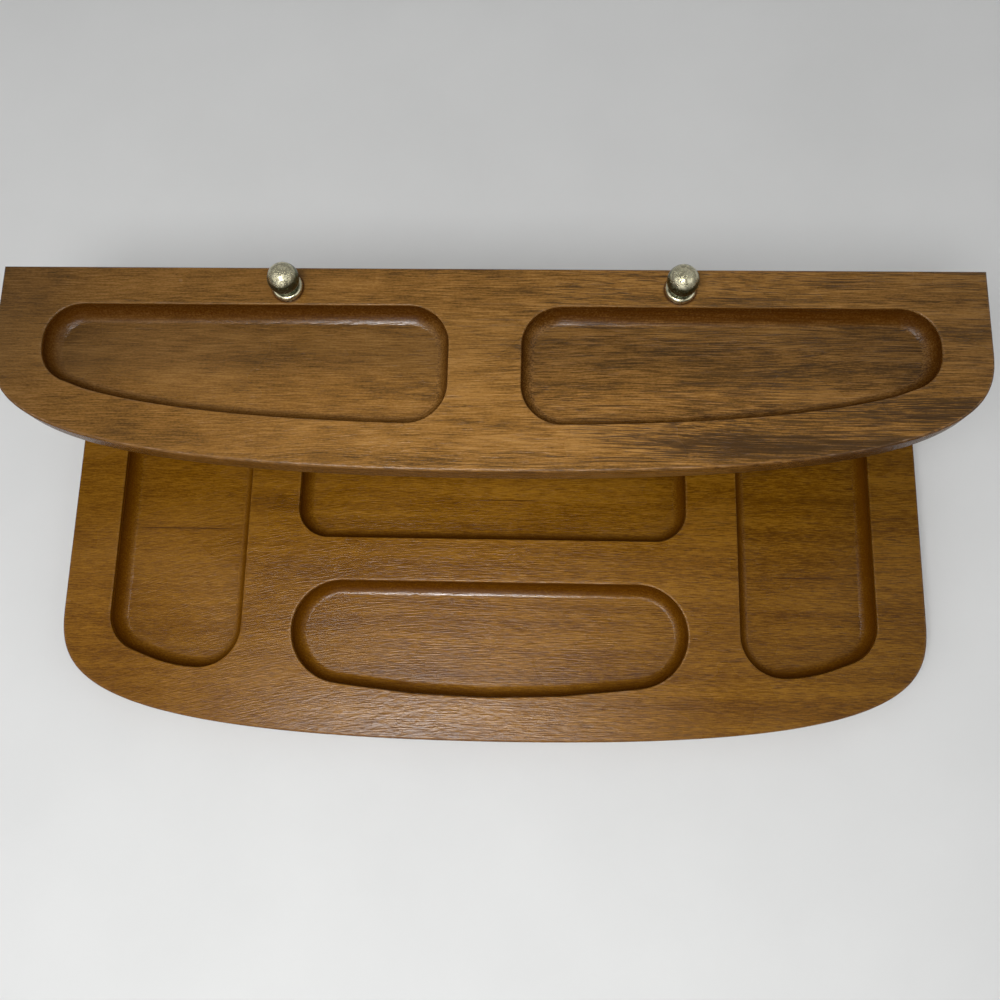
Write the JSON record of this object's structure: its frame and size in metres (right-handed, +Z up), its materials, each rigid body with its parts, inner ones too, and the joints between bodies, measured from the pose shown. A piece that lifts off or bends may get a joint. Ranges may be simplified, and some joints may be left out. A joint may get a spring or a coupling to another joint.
{
  "type": "valet tray",
  "caption": "Two-tier wooden valet tray with bow-fronted boards, routed compartments for pocket things, and a shelf on posts with ball finials.",
  "frame": {"origin": "on the table under the middle of the base board", "axes": "+X to the right along the boards' length, +Y to the straight back edge, +Z up"},
  "size_m": [0.33, 0.1544, 0.101],
  "materials": {
    "base_wood": "stained medium brown, satin lacquer",
    "shelf_wood": "stained medium brown with dark grain, satin lacquer, worn at the front edge",
    "brass": "dull tarnished brass plate, pitted",
    "steel": "zinc-plated steel",
    "felt": "pressed dark brown felt"
  },
  "bodies": {
    "tray": {"base_board": "base_wood", "shelf_board": "shelf_wood", "left_post": "brass", "left_tie_rod": "steel", "left_rod_washer": "steel", "left_rod_nut": "steel", "front_left_foot": "felt", "back_left_foot": "felt", "right_post": "brass", "right_tie_rod": "steel", "right_rod_washer": "steel", "right_rod_nut": "steel", "front_right_foot": "felt", "back_right_foot": "felt"},
    "left_collar": {"left_finial_collar": "brass"},
    "left_ball": {"left_finial_ball": "brass"},
    "right_collar": {"right_finial_collar": "brass"},
    "right_ball": {"right_finial_ball": "brass"}
  },
  "joints": [
    {"name": "left_finial_rise", "type": "slide", "parent": "tray", "child": "left_collar", "axis": [0, 0, 1], "range_m": [0, 0.0056]},
    {"name": "left_finial_turn", "type": "hinge", "parent": "left_collar", "child": "left_ball", "pos_m": [-0.0667, 0.06975, 0.0885], "axis": [0, 0, 1], "range_deg": [0, 2881]},
    {"name": "right_finial_rise", "type": "slide", "parent": "tray", "child": "right_collar", "axis": [0, 0, 1], "range_m": [0, 0.0056]},
    {"name": "right_finial_turn", "type": "hinge", "parent": "right_collar", "child": "right_ball", "pos_m": [0.0643, 0.06975, 0.0885], "axis": [0, 0, 1], "range_deg": [0, 2881]}
  ],
  "couplings": [
    {"joint": "left_finial_turn", "follows": "left_finial_rise", "rad_per_m": 8976},
    {"joint": "right_finial_turn", "follows": "right_finial_rise", "rad_per_m": 8976}
  ]
}
